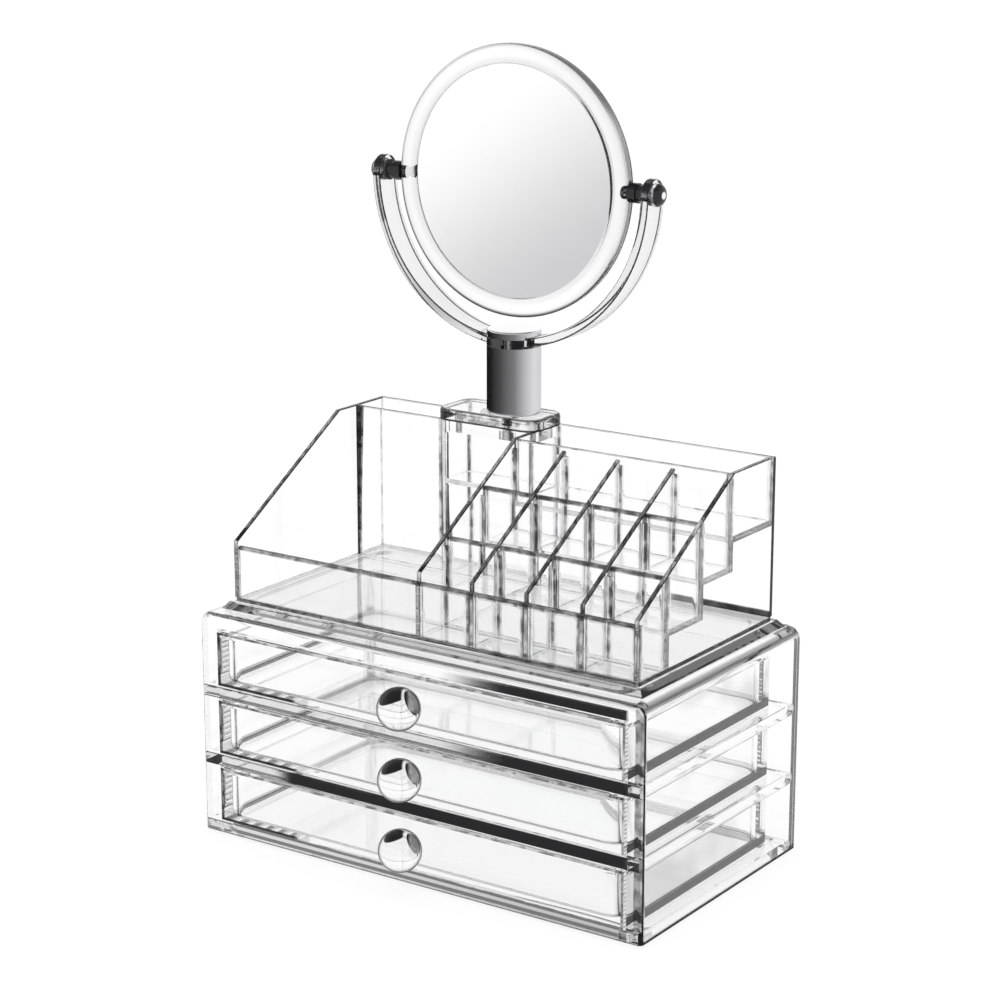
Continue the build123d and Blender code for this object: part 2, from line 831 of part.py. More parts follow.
for side, name in ((-1, "left"), (1, "right")):
    shank = turned_on_pivot(
        side,
        (pin_start, knob_start, pivot_pin_diameter),
        (knob_start, knob_start + pivot_knob_length, pivot_knob_diameter),
    )
    with BuildPart() as pivot_screw:
        add(shank.part)
        dome_edge = pivot_screw.edges().sort_by(Axis.X)[-1 if side > 0 else 0]
        fillet(dome_edge, pivot_knob_length - pivot_gap)
    keep(pivot_screw, f"{name}_pivot_screw")
    pivot_collar = bored_on_pivot(
        side,
        (collar_start, collar_start + collar_length, collar_diameter),
        (collar_start + collar_length, washer_start - cement_gap, sleeve_diameter),
    )
    keep(pivot_collar, f"{name}_pivot_collar")
    friction_washer = bored_on_pivot(side, (washer_start, washer_end, washer_diameter))
    keep(friction_washer, f"{name}_friction_washer")
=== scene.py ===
from math import cos, pi, radians, sin

import bmesh
import bpy
from bpy.props import FloatProperty, FloatVectorProperty, PointerProperty
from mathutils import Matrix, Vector


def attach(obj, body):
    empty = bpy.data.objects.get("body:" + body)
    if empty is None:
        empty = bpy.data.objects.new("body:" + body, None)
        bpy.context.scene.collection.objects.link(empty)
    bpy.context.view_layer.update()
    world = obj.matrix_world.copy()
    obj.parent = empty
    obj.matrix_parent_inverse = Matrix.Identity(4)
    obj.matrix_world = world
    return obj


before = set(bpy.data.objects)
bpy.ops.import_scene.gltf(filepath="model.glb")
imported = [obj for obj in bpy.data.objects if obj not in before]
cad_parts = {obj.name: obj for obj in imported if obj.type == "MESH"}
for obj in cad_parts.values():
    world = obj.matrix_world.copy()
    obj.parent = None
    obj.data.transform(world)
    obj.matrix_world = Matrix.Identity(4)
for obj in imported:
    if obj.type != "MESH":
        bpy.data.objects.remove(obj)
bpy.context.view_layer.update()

bl_info = {
    "name": "Clear makeup organizer",
    "version": (1, 0, 0),
    "blender": (4, 5, 0),
    "location": "View3D > Sidebar > Organizer",
    "description": "Finishes and stage for a clear organizer with drawers, a lipstick rack and a mirror",
    "category": "Object",
}

DRAWERS = ("lower_drawer", "middle_drawer", "upper_drawer")
KNOBS = tuple(f"{drawer}_knob" for drawer in DRAWERS)
STEP_FLOORS = ("column_floor", "rack_step_1", "rack_step_2", "back_pocket_shelf")
LIPPED_WALLS = ("tray_front_wall", "rack_cross_wall_1", "rack_cross_wall_2")
CELL_SIDES = (
    "tray_centre_wall",
    "rack_divider_1",
    "rack_divider_2",
    "rack_divider_3",
    "rack_end_sheet",
)
CELL_WALLS = (*LIPPED_WALLS, "rack_cross_wall_3")
CELL_FLOORS = ("tray_base", "rack_step_1", "rack_step_2")
PIVOT_METAL = (
    "left_pivot_screw",
    "right_pivot_screw",
    "left_pivot_collar",
    "right_pivot_collar",
)
PIVOT_RUBBER = ("left_friction_washer", "right_friction_washer")
GLASSES = ("front_mirror", "magnifying_mirror")

# Moulding waves of the clear pieces: how many per metre, and how deep in metres
CHEST_WAVES = (18.0, 0.00006)
DRAWER_WAVES = (22.0, 0.00008)
KNOB_WAVES = (30.0, 0.00001)
SHEET_WAVES = (14.0, 0.00005)
FILLET_WAVES = (14.0, 0.00003)
FOOT_WAVES = (30.0, 0.00003)
MIRROR_WAVES = (20.0, 0.00003)
# Fixed directions on the knobs, as the photo's side shows them
# They place the painted dark and pale reflection patches on the knobs
AWAY = (-0.563, 0.753, -0.34)
RIGHTWARD = (0.8, 0.6, 0.0)
UPWARD = (-0.204, 0.272, 0.94)
WHITE = (1.0, 1.0, 1.0)


class Flow:
    """A socket of a node tree that is added and multiplied like a number."""

    def __init__(self, tree, socket):
        self.tree = tree
        self.socket = socket

    @classmethod
    def node(cls, tree, kind, settings=None, values=None, output=0):
        """Add a node: its settings first, then a value or a link for each socket named."""
        made = tree.nodes.new(kind)
        for key, value in (settings or {}).items():
            if key == "stops":
                ramp = made.color_ramp.elements
                ramp.remove(ramp[1])
                ramp[0].color = rgba(value[0][1])
                for position, colour in value[1:]:
                    ramp.new(position).color = rgba(colour)
            else:
                setattr(made, key, value)
        for key, value in (values or {}).items():
            if isinstance(value, cls):
                tree.links.new(value.socket, made.inputs[key])
            else:
                made.inputs[key].default_value = value
        return cls(tree, made.outputs[output])

    def maths(self, operation, *values):
        """Math node on plain values and flows."""
        return Flow.node(
            self.tree, "ShaderNodeMath", {"operation": operation}, dict(enumerate(values))
        )

    def __add__(self, other):
        return self.maths("ADD", self, other)

    __radd__ = __add__

    def __sub__(self, other):
        return self.maths("SUBTRACT", self, other)

    def __rsub__(self, other):
        return self.maths("SUBTRACT", other, self)

    def __mul__(self, other):
        return self.maths("MULTIPLY", self, other)

    __rmul__ = __mul__

    def __truediv__(self, other):
        return self.maths("DIVIDE", self, other)

    def size(self):
        """Value without its sign."""
        return self.maths("ABSOLUTE", self)

    def over(self, other):
        """Larger of two values."""
        return self.maths("MAXIMUM", self, other)

    def axes(self):
        """X, Y and Z of a vector."""
        split = Flow.node(self.tree, "ShaderNodeSeparateXYZ", None, {0: self})
        return [Flow(self.tree, socket) for socket in split.socket.node.outputs]

    def step(self, low, high):
        """Smooth rise from 0 at low to 1 at high."""
        return Flow.node(
            self.tree,
            "ShaderNodeMapRange",
            {"interpolation_type": "SMOOTHSTEP"},
            {"Value": self, "From Min": low, "From Max": high},
        )

    def above(self, level, soft):
        """One above a level, with a soft start."""
        return self.step(level, level + soft)

    def below(self, level, soft):
        """One up to a level, with a soft end."""
        return 1 - self.step(level, level + soft)

    def blend(self, first, second):
        """Colour between two colours, with this flow as the share of the second."""
        return Flow.node(
            self.tree,
            "ShaderNodeMix",
            {"data_type": "RGBA"},
            {0: self, 6: first, 7: second},
            2,
        )


def rgba(colour):
    """Colour of a setting with full alpha."""
    return (*colour, 1.0)


def new_finish(name):
    """Empty material, its tree and its output node."""
    finish = bpy.data.materials.new(name)
    finish.use_nodes = True
    finish.node_tree.nodes.clear()
    output = finish.node_tree.nodes.new("ShaderNodeOutputMaterial")
    return finish, finish.node_tree, output


def place_on(tree):
    """Place on the piece, in metres."""
    return Flow.node(tree, "ShaderNodeTexCoord", output="Object")


def grain(place, scale, detail=2.0, rough=0.5, stretch=(1.0, 1.0, 1.0)):
    """Even noise on the piece, stretched along an axis where asked."""
    tree = place.tree
    stretched = Flow.node(tree, "ShaderNodeMapping", None, {"Vector": place, "Scale": stretch})
    return Flow.node(
        tree,
        "ShaderNodeTexNoise",
        None,
        {"Vector": stretched, "Scale": scale, "Detail": detail, "Roughness": rough},
    )


def bump(height, depth, strength=1.0):
    """Normal from a height between 0 and 1 that stands for a depth in metres."""
    return Flow.node(
        height.tree,
        "ShaderNodeBump",
        None,
        {"Height": height, "Distance": depth, "Strength": strength},
        "Normal",
    )


def surface_of(tree, output, values):
    """Plain surface with the values given, led to the output."""
    made = Flow.node(tree, "ShaderNodeBsdfPrincipled", None, values)
    tree.links.new(made.socket, output.inputs["Surface"])


def dimmed(colour, share):
    """Colour with each channel times a share."""
    return rgba([channel * share for channel in colour])


def dress(names, finish):
    """Give CAD pieces a finish."""
    for name in names:
        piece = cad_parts[name]
        for slot in piece.material_slots:
            slot.material = finish


class Plastic:
    """Clear polished plastic: faint haze, rubbed patches, slow moulding waves and dark edges of painted
    shade.
    """

    def __init__(self, name, look):
        self.look = look
        self.finish, self.tree, self.output = new_finish(name)
        self.place = place_on(self.tree)
        self.x, self.y, self.z = self.place.axes()
        facing = Flow.node(self.tree, "ShaderNodeTexCoord", output="Normal")
        self.facing = dict(zip("xyz", facing.axes()))
        inside = Flow.node(self.tree, "ShaderNodeTexCoord", output="Generated")
        self.inside = dict(zip("xyz", inside.axes()))
        haze = grain(self.place, look.haze_scale)
        self.colour = haze.blend(rgba(look.tint), rgba(look.haze_tint))
        self.beads = grain(self.place, look.bead_scale, 3.0).step(0.4, 0.62)
        # Mask and colour of the painted shade layer
        self.painted_shade_mask = Flow.node(self.tree, "ShaderNodeValue")
        self.painted_shade_colour = rgba(look.painted_shade)

    def square(self):
        """One on level and upright faces, less where a corner is rounded."""
        x, y, z = (self.facing[axis].size() for axis in "xyz")
        return x.over(y).over(z)

    def painted_shade(self, mask):
        """Paint shade on the plastic where a mask is one, in place of the dark of an edge that sends
        light away.
        """
        self.painted_shade_mask = self.painted_shade_mask.over(mask)

    def cut_edges(self, axis, strength=1.0):
        """Painted shade on the edges of a sheet: dark along both corners, lighter and streaky between.
        """
        look = self.look
        edge = (1 - self.facing[axis].size().step(0.55, 0.85)) * strength
        middle = (1 - (self.inside[axis] - 0.5).size() * 2).step(0.1, 0.4)
        streak = self.beads * (look.edge_dark - look.edge_light) + look.edge_light
        patches = grain(self.place, look.patch_scale).step(0.4, 0.6)
        palest = 0.6
        line = (patches * (1 - palest) + palest) * look.outline
        self.painted_shade(edge * (middle * (streak - line) + line))

    def rounded_edges(self, mask=1.0):
        """Painted shade on the rounded corners of a moulding, where they bend the light away."""
        look = self.look
        rounded = (1 - self.square().step(0.8, 0.95)) * mask
        self.painted_shade(rounded * (self.beads * (look.round_dark - look.round_light) + look.round_light))

    def rim(self, start, end, strength):
        """Painted dark outline of a round piece, where its surface turns away."""
        facing = Flow.node(
            self.tree, "ShaderNodeLayerWeight", None, {"Blend": 0.5}, "Facing"
        )
        self.painted_shade(strength * facing.step(start, end))

    def close(self, wave_scale, wave_depth):
        """Join the layers and hand back the finished material."""
        look, tree = self.look, self.tree
        rubbed = grain(self.place, look.rub_scale, 4.0).step(0.52, 0.75)
        waves = grain(self.place, wave_scale, 1.0)
        plastic = Flow.node(
            tree,
            "ShaderNodeBsdfPrincipled",
            None,
            {
                "Base Color": self.colour,
                "Roughness": rubbed * look.rub_roughness + look.roughness,
                "IOR": look.ior,
                "Specular Tint": rgba(look.gloss_tint),
                "Transmission Weight": 1.0,
                "Normal": bump(waves, wave_depth),
            },
        )
        # Matt dark layer of the painted shade, mixed in where its mask is one
        matt = Flow.node(
            tree,
            "ShaderNodeBsdfPrincipled",
            None,
            {"Base Color": self.painted_shade_colour, "Roughness": 0.35, "Specular IOR Level": 0.1},
        )
        plastic = Flow.node(
            tree, "ShaderNodeMixShader", None, {0: self.painted_shade_mask, 1: plastic, 2: matt}
        )
        lets_light = Flow.node(
            tree, "ShaderNodeBsdfTransparent", None, {"Color": rgba(look.shadow_tint)}
        )
        shadow_ray = Flow.node(tree, "ShaderNodeLightPath", output="Is Shadow Ray")
        surface = Flow.node(
            tree, "ShaderNodeMixShader", None, {0: shadow_ray, 1: plastic, 2: lets_light}
        )
        tree.links.new(surface.socket, self.output.inputs["Surface"])
        body = Flow.node(
            tree,
            "ShaderNodeVolumeAbsorption",
            None,
            {"Color": rgba(look.body_tint), "Density": look.body_density},
        )
        tree.links.new(body.socket, self.output.inputs["Volume"])
        return self.finish


def extent(name):
    """Low and high corner of a CAD piece, in metres."""
    corners = [Vector(corner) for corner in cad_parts[name].bound_box]
    low = Vector([min(corner[axis] for corner in corners) for axis in range(3)])
    high = Vector([max(corner[axis] for corner in corners) for axis in range(3)])
    return low, high


class StageSettings(bpy.types.PropertyGroup):
    """Camera, floor and studio light."""

    camera_place: FloatVectorProperty(
        name="Camera place",
        description="Where the camera stands",
        default=(0.66208, -0.950465, 0.46994),
        subtype="TRANSLATION",
        unit="LENGTH",
    )
    camera_aim: FloatVectorProperty(
        name="Camera aim",
        description="Point in the middle of the picture",
        default=(0.00127, 0.009845, 0.16251),
        subtype="TRANSLATION",
        unit="LENGTH",
    )
    lens: FloatProperty(
        name="Lens", description="Focal length", default=97.3, min=10.0, unit="CAMERA"
    )
    floor_size: FloatProperty(
        name="Floor size",
        description="Side of the square floor",
        default=30.0,
        min=1.0,
        unit="LENGTH",
    )
    floor_colour: FloatVectorProperty(
        name="Floor",
        description="Colour of the floor",
        default=(0.92, 0.92, 0.92),
        subtype="COLOR",
        min=0.0,
        max=1.0,
    )
    floor_glow: FloatProperty(
        name="Floor glow",
        description="Share of the floor that shows as plain white",
        default=0.85,
        min=0.0,
        max=1.0,
        subtype="FACTOR",
    )
    light_strength: FloatProperty(
        name="Light",
        description="Strength of the soft light overhead",
        default=2.6,
        min=0.0,
    )
    card_gap: FloatProperty(
        name="Card gap",
        description="From the post to the shade card",
        default=0.003,
        min=0.0005,
        unit="LENGTH",
    )
    card_start: FloatProperty(
        name="Card start",
        description="Where the dark end of the card stands round the post",
        default=radians(-181.0),
        subtype="ANGLE",
    )
    card_end: FloatProperty(
        name="Card end",
        description="Where the pale end of the card stands round the post",
        default=radians(71.0),
        subtype="ANGLE",
    )
    sky_high: FloatProperty(
        name="High sky",
        description="Brightness of the studio overhead",
        default=0.3,
        min=0.0,
        max=1.0,
        subtype="FACTOR",
    )
    sky_low: FloatProperty(
        name="Low sky",
        description="Brightness of the studio walls",
        default=1.0,
        min=0.0,
        max=1.0,
        subtype="FACTOR",
    )


class AcrylicSettings(bpy.types.PropertyGroup):
    """Clear plastic of the chest, drawers, tray and mirror frame."""

    tint: FloatVectorProperty(
        name="Tint",
        description="Colour of the clear plastic",
        default=(1.0, 1.0, 1.0),
        subtype="COLOR",
        min=0.0,
        max=1.0,
    )
    haze_tint: FloatVectorProperty(
        name="Haze",
        description="Colour where the plastic is a little cloudy",
        default=(0.993, 0.995, 0.996),
        subtype="COLOR",
        min=0.0,
        max=1.0,
    )
    gloss_tint: FloatVectorProperty(
        name="Gloss",
        description="Colour of the gloss on the plastic",
        default=(0.35, 0.35, 0.35),
        subtype="COLOR",
        min=0.0,
        max=1.0,
    )
    body_tint: FloatVectorProperty(
        name="Body",
        description="Colour left after a long way through the plastic",
        default=(0.2, 0.2, 0.2),
        subtype="COLOR",
        min=0.0,
        max=1.0,
    )
    body_density: FloatProperty(
        name="Body density",
        description="How fast light fades inside the plastic",
        default=0.5,
        min=0.0,
    )
    shadow_tint: FloatVectorProperty(
        name="Shadow",
        description="Light that a surface lets through to the floor",
        default=(0.96, 0.96, 0.96),
        subtype="COLOR",
        min=0.0,
        max=1.0,
    )
    # Colour of the painted shade
    painted_shade: FloatVectorProperty(
        name="Dark edge",
        description="Colour of an edge that sends the light away",
        default=(0.012, 0.012, 0.013),
        subtype="COLOR",
        min=0.0,
        max=1.0,
    )
    # Colour of the painted pale reflection on a knob
    painted_reflection: FloatVectorProperty(
        name="Veil",
        description="Colour of the pale veil on a knob",
        default=(0.5, 0.5, 0.5),
        subtype="COLOR",
        min=0.0,
        max=1.0,
    )
    # Darkness levels of the painted shade on cut edges, rounded corners and deep bands
    edge_light: FloatProperty(
        name="Edge, light",
        description="Darkness of the lighter streaks on a cut edge",
        default=0.15,
        min=0.0,
        max=1.0,
        subtype="FACTOR",
    )
    edge_dark: FloatProperty(
        name="Edge, dark",
        description="Darkness of the darker streaks on a cut edge",
        default=0.5,
        min=0.0,
        max=1.0,
        subtype="FACTOR",
    )
    outline: FloatProperty(
        name="Corner line",
        description="Darkness along both corners of a cut edge",
        default=0.93,
        min=0.0,
        max=1.0,
        subtype="FACTOR",
    )
    round_light: FloatProperty(
        name="Rounding, light",
        description="Darkness of the lighter streaks on a rounded corner",
        default=0.3,
        min=0.0,
        max=1.0,
        subtype="FACTOR",
    )
    round_dark: FloatProperty(
        name="Rounding, dark",
        description="Darkness of the darker streaks on a rounded corner",
        default=0.75,
        min=0.0,
        max=1.0,
        subtype="FACTOR",
    )
    band: FloatProperty(
        name="Deep band",
        description="Darkness of an edge that shows the whole depth of a panel",
        default=0.97,
        min=0.0,
        max=1.0,
        subtype="FACTOR",
    )
    # Width of the painted dark wedge of shade at a cemented joint
    seam: FloatProperty(
        name="Seam",
        description="Width of a cemented seam at its wide end",
        default=0.003,
        min=0.0,
        max=0.02,
        unit="LENGTH",
    )
    bead_scale: FloatProperty(
        name="Streak scale", description="Streaks per metre along an edge", default=170.0
    )
    patch_scale: FloatProperty(
        name="Patch scale", description="Paler patches per metre along an edge", default=70.0
    )
    fillet: FloatProperty(
        name="Corner fillet",
        description="Radius in the corners of the tray's compartments",
        default=0.0026,
        min=0.0005,
        max=0.01,
        unit="LENGTH",
    )
    ior: FloatProperty(
        name="Refraction", description="Index of refraction", default=1.49, min=1.0, max=2.0
    )
    roughness: FloatProperty(
        name="Polish", description="Roughness where polished", default=0.004, min=0.0, max=1.0
    )
    rub_roughness: FloatProperty(
        name="Rub", description="Roughness that handling adds", default=0.025, min=0.0, max=1.0
    )
    haze_scale: FloatProperty(name="Haze scale", description="Haze per metre", default=11.0)
    rub_scale: FloatProperty(name="Rub scale", description="Rubbed patches per metre", default=48.0)


class MetalSettings(bpy.types.PropertyGroup):
    """Chromed post, black pivots and mirror glass."""

    chrome: FloatVectorProperty(
        name="Chrome",
        description="Colour of the chromed post",
        default=(0.8, 0.8, 0.82),
        subtype="COLOR",
        min=0.0,
        max=1.0,
    )
    black_chrome: FloatVectorProperty(
        name="Black chrome",
        description="Colour of the pivot screws",
        default=(0.008, 0.008, 0.009),
        subtype="COLOR",
        min=0.0,
        max=1.0,
    )
    silver: FloatVectorProperty(
        name="Silver",
        description="Colour of the mirror",
        default=(0.99, 0.99, 0.99),
        subtype="COLOR",
        min=0.0,
        max=1.0,
    )
    # Painted shade towards the mirror's lower right
    silver_shade: FloatVectorProperty(
        name="Silver shade",
        description="Colour of the mirror at its lower right",
        default=(0.6, 0.6, 0.61),
        subtype="COLOR",
        min=0.0,
        max=1.0,
    )
    rubber: FloatVectorProperty(
        name="Rubber",
        description="Colour of the friction washers",
        default=(0.03, 0.03, 0.03),
        subtype="COLOR",
        min=0.0,
        max=1.0,
    )


class ORGANIZER_OT_chest(bpy.types.Operator):
    """Clear finish for the chest and its shelves"""

    bl_idname = "organizer.chest"
    bl_label = "Chest"

    def execute(self, context):
        look = context.scene.organizer_acrylic
        self.shell(look)
        for name, start, end, strength in (
            ("upper_shelf", 0.012, 0.055, look.band),
            ("lower_shelf", -0.078, -0.066, look.band),
            ("chest_floor", -0.119, 0.2, 0.3),
        ):
            self.shelf(look, name, start, end, strength)
        return {"FINISHED"}

    def shell(self, look):
        """Painted shade on the shoulders, a painted dark header, painted dark corner bands and dark
        ticks on the right stile.
        """
        plinth_height = 0.0035
        stile_depth = 0.004
        stile_inside = 0.1108
        header_bottom, header_top = 0.0992, 0.1030
        header_start, header_full, header_end = 0.012, 0.055, 0.1085
        hem_height = 0.0007
        face_depth = 0.0004
        right_band, left_band = 0.1146, -0.1178
        tick_pitch = 0.0019
        low, high = extent("chest_shell")
        shell = Plastic("chest_clear", look)
        # Painted shade on the rounded shoulders, deeper on the plinth and lighter on faces turned to the
        # front
        rounded = 1 - shell.square().step(0.8, 0.95)
        lying = shell.facing["z"].size().step(0.2, 0.4)
        to_front = shell.facing["y"].size().step(0.2, 0.5)
        plinth = shell.z.above(high.z - plinth_height, 0.0004)
        shade = (plinth * 0.27 + 0.35) * (1 - to_front * 0.55)
        streaks = shell.beads * 0.5 + 0.2
        shell.painted_shade(rounded * (lying * shade + (1 - lying) * streaks))

        # Painted dark header band across the front
        upright = shell.facing["y"].size().step(0.6, 0.8)
        front = shell.y.below(low.y + stile_depth, 0.002) * upright
        header = shell.z.above(header_bottom, 0.0006) * shell.z.below(header_top, 0.0006)
        reach = shell.x.step(header_start, header_full) * shell.x.below(header_end, 0.002)
        shell.painted_shade(front * header * reach * look.band)

        # Painted dark hem along the bottom of the right half
        right_half = shell.x.above(0.0, 0.01)
        hem = shell.z.below(low.z + hem_height, 0.0002)
        shell.painted_shade(hem * right_half * look.band)
        # Painted dark bands at both front corners
        face = shell.y.below(low.y + face_depth, 0.0002) * upright
        corners = (shell.x.above(right_band, 0.0006) * 0.85).over(shell.x.below(left_band, 0.0004))
        shell.painted_shade(face * corners * (shell.beads * 0.4 + 0.5))

        # Dark ticks up the inside of the right stile
        inner = shell.facing["x"].size().step(0.6, 0.8) * shell.x.size().below(stile_inside, 0.0012)
        stile = inner * right_half * shell.y.below(low.y + stile_depth, 0.0002)
        turns = shell.z * (2 * pi / tick_pitch)
        ticks = turns.maths("SINE", turns).step(-0.2, 0.2)
        shell.painted_shade(stile * (ticks * 0.35 + 0.2))
        dress(("chest_shell", "chest_back_panel"), shell.close(*CHEST_WAVES))

    def shelf(self, look, name, start, end, strength):
        """Front edge with painted shade that darkens from start to end, and a painted dark line above
        and below.
        """
        pale = 0.12
        right_end = 0.1095
        line = 0.0005
        foot_rim = 0.0016 if name == "chest_floor" else 0.0
        low, high = extent(name)
        shelf = Plastic(f"{name}_clear", look)
        edge = shelf.facing["y"].size().step(0.6, 0.8)
        fade = shelf.x.step(start, end) * shelf.x.below(right_end, 0.002)
        shelf.painted_shade(edge * (fade * (strength - pale) + pale))
        under = shelf.z.below(low.z + foot_rim + line, 0.0002)
        over = shelf.z.above(high.z - line - 0.0002, 0.0002)
        shelf.painted_shade(edge * under.over(over) * 0.75)
        dress((name,), shelf.close(*CHEST_WAVES))


class ORGANIZER_OT_drawers(bpy.types.Operator):
    """Clear finish for the drawers and their ball knobs"""

    bl_idname = "organizer.drawers"
    bl_label = "Drawers and knobs"

    def execute(self, context):
        look = context.scene.organizer_acrylic
        for name in DRAWERS:
            self.box(look, name)
        for name in KNOBS:
            self.knob(look, name)
        return {"FINISHED"}

    def box(self, look, name):
        """Drawer with painted shade: dark floor edges, a beaded dark gap line at its left and a dark
        sill.
        """
        plate_face = 0.001
        floor_top = 0.0036
        bed_bottom, bed_top = 0.0023, 0.0040
        gap_width = 0.0022
        sill_height, sill_end = 0.0016, -0.066
        far_floor = 0.3
        low = extent(name)[0]
        box = Plastic(f"{name}_clear", look)
        front = box.y.below(low.y + plate_face, 0.0002)
        box.rounded_edges(front)
        # Painted shade along the floor edges of the sides, deepest on the right
        side = box.facing["x"].size().step(0.6, 0.8)
        near = box.x.step(-0.01, 0.01)
        floor = box.z.below(low.z + floor_top, 0.0008)
        box.painted_shade(floor * side * (near * (look.band - far_floor) + far_floor))
        # Painted grey shade in soft clouds on the right part of the sides
        cloud = grain(box.place, 26.0, 1.0).step(0.42, 0.62)
        box.painted_shade(side * near * cloud * 0.17)
        # Painted shade in the hollow inner corners at floor level
        bed = box.z.above(low.z + bed_bottom, 0.0003) * box.z.below(low.z + bed_top, 0.0004)
        hollow = 1 - box.square().step(0.9, 0.99)
        box.painted_shade(hollow * bed * (1 - front) * 0.25)
        # Painted dark gap line down the left of the front
        flat = box.facing["y"].size().step(0.5, 0.7)
        gap = box.x.below(low.x + gap_width, 0.0004)
        box.painted_shade(front * flat * gap * (box.beads * 0.22 + 0.76))
        # Painted dark sill along the bottom of the front, on its left part
        sill = box.z.below(low.z + sill_height, 0.0003) * box.x.below(sill_end, 0.004)
        box.painted_shade(front * sill * look.band)
        dress((name,), box.close(*DRAWER_WAVES))

    def knob(self, look, name):
        """Clear ball with the painted dark and pale reflection patches that show in it."""
        low, high = extent(name)
        middle = (low + high) / 2
        radius = (high.x - low.x) / 2
        ball = Plastic(f"{name}_clear", look)
        tall = (ball.z - middle.z) / radius
        place = ((ball.x - middle.x) / radius, (ball.y - (low.y + radius)) / radius, tall)
        away, right, upper = (
            sum(part * share for part, share in zip(place, way))
            for way in (AWAY, RIGHTWARD, UPWARD)
        )
        # Painted dark reflection patch, on the far side of the ball
        dark = (upper + right * -0.35).step(0.122, 0.138) * (1 - right.step(0.03, 0.06))
        ball.painted_shade(away.step(0.7, 0.75) * dark)
        # Painted dark outline, a little heavier towards the top
        ball.rim(0.45, 0.75, tall.step(0.0, 0.7) * 0.14 + 0.8)
        # Painted pale reflection patch, on the near right of the ball
        painted_reflection = (1 - away.step(-0.5, -0.4)) * right.step(0.3, 0.5) * upper.step(-0.4, 0.0)
        ball.painted_shade(painted_reflection * (ball.beads * 0.3 + 0.35))
        ball.painted_shade_colour = painted_reflection.blend(rgba(look.painted_shade), rgba(look.painted_reflection))
        dress((name,), ball.close(*KNOB_WAVES))


class ORGANIZER_OT_tray(bpy.types.Operator):
    """Clear finish for the tray and its lipstick rack"""

    bl_idname = "organizer.tray"
    bl_label = "Tray"

    def execute(self, context):
        look = context.scene.organizer_acrylic
        base_painted_shade = 0.05
        step_strength = 0.4
        lip = 0.0018
        strip_height, strip_start = 0.0024, 0.05
        side = Plastic("side_clear", look)
        side.cut_edges("x")
        dress(("tray_left_wall", *CELL_SIDES), side.close(*SHEET_WAVES))
        wall = Plastic("rack_back_clear", look)
        wall.cut_edges("y")
        dress(("rack_cross_wall_3",), wall.close(*SHEET_WAVES))
        base = Plastic("tray_base_clear", look)
        base.cut_edges("z")
        # Even painted shade over the whole base
        base.painted_shade(base_painted_shade)
        dress(("tray_base",), base.close(*SHEET_WAVES))
        step = Plastic("step_clear", look)
        step.cut_edges("z", step_strength)
        dress(STEP_FLOORS, step.close(*SHEET_WAVES))
        for name in LIPPED_WALLS:
            wall = Plastic(f"{name}_clear", look)
            wall.cut_edges("y")
            top = extent(name)[1].z
            # Painted dark band along the top of the wall
            wall.painted_shade(wall.z.above(top - lip, 0.0003) * (wall.beads * 0.4 + 0.35))
            dress((name,), wall.close(*SHEET_WAVES))
        wall = Plastic("tray_back_wall_clear", look)
        wall.cut_edges("y")
        floor = extent("tray_base")[1].z
        # Painted shade along the foot of the back wall, on its right part
        strip = wall.z.below(floor + strip_height, 0.0004) * wall.x.above(strip_start, 0.01)
        wall.painted_shade(strip * (wall.beads * 0.15 + 0.7))
        dress(("tray_back_wall",), wall.close(*SHEET_WAVES))
        self.with_painted_wedge("pocket_partition", "y", "x", True, 1.0, look)
        self.with_painted_wedge("column_side", "x", "y", False, 0.4, look)
        return {"FINISHED"}

    def with_painted_wedge(self, name, axis, along, wide_at_top, strength, look):
        """Sheet with a painted dark wedge of shade at one end, along its cemented joint."""
        sheet = Plastic(f"{name}_clear", look)
        sheet.cut_edges(axis, strength)
        low, high = extent(name)
        reach = sheet.inside[along] * (high - low)["xy".index(along)]
        rise = sheet.inside["z"] if wide_at_top else 1 - sheet.inside["z"]
        narrowest = 0.0004
        wedge = (reach - rise * look.seam).below(narrowest, 0.0005)
        broad = sheet.facing[axis].size().step(0.55, 0.85)
        sheet.painted_shade(broad * wedge * (sheet.beads * 0.2 + 0.75))
        dress((name,), sheet.close(*SHEET_WAVES))


